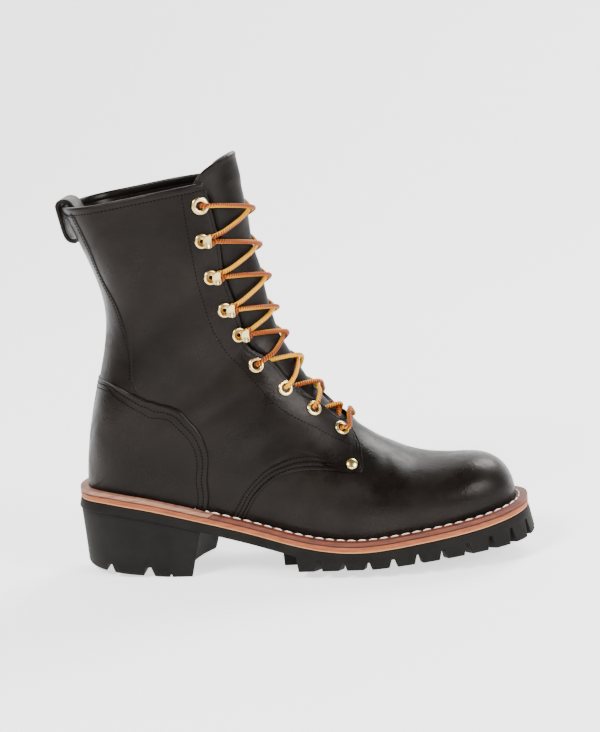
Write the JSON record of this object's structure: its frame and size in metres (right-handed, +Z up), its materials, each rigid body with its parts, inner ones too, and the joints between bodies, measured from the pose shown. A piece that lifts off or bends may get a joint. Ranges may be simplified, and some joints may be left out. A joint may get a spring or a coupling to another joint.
{
  "type": "logger boot",
  "caption": "Tall laced leather work boot for the right foot, with a high stacked heel, a lugged sole, brass eyelets and speed hooks.",
  "frame": {"origin": "on the floor, on the flat tread at the front of the heel, in the middle of the boot's width", "axes": "+X towards the toe, +Y to the inner side of the foot, +Z up"},
  "size_m": [0.3165, 0.1133, 0.2885],
  "materials": {
    "black_leather": "oiled, soft sheen",
    "brown_leather": "natural edge, waxed",
    "insole_leather": "matte",
    "rubber": "matte",
    "brass": "polished",
    "lace": "woven"
  },
  "bodies": {
    "root": {"outsole": "rubber", "heel": "rubber", "midsole": "brown_leather", "welt": "brown_leather", "heel_rand": "brown_leather", "insole": "insole_leather", "upper": "black_leather", "counter": "black_leather", "backstay": "black_leather", "tongue": "black_leather", "collar_binding": "black_leather", "pull_loop": "black_leather", "eyelet_lat_1": "brass", "eyelet_lat_2": "brass", "eyelet_lat_3": "brass", "eyelet_lat_4": "brass", "eyelet_lat_5": "brass", "eyelet_med_1": "brass", "eyelet_med_2": "brass", "eyelet_med_3": "brass", "eyelet_med_4": "brass", "eyelet_med_5": "brass", "hook_lat_1": "brass", "hook_lat_2": "brass", "hook_lat_3": "brass", "hook_lat_4": "brass", "hook_med_1": "brass", "hook_med_2": "brass", "hook_med_3": "brass", "hook_med_4": "brass", "rivet_lat": "brass", "rivet_med": "brass", "lace_bar": "lace", "lace_cross_1": "lace", "lace_cross_2": "lace", "lace_cross_3": "lace", "lace_cross_4": "lace", "lace_cross_5": "lace", "lace_cross_6": "lace", "lace_cross_7": "lace", "lace_cross_8": "lace"}
  },
  "joints": []
}
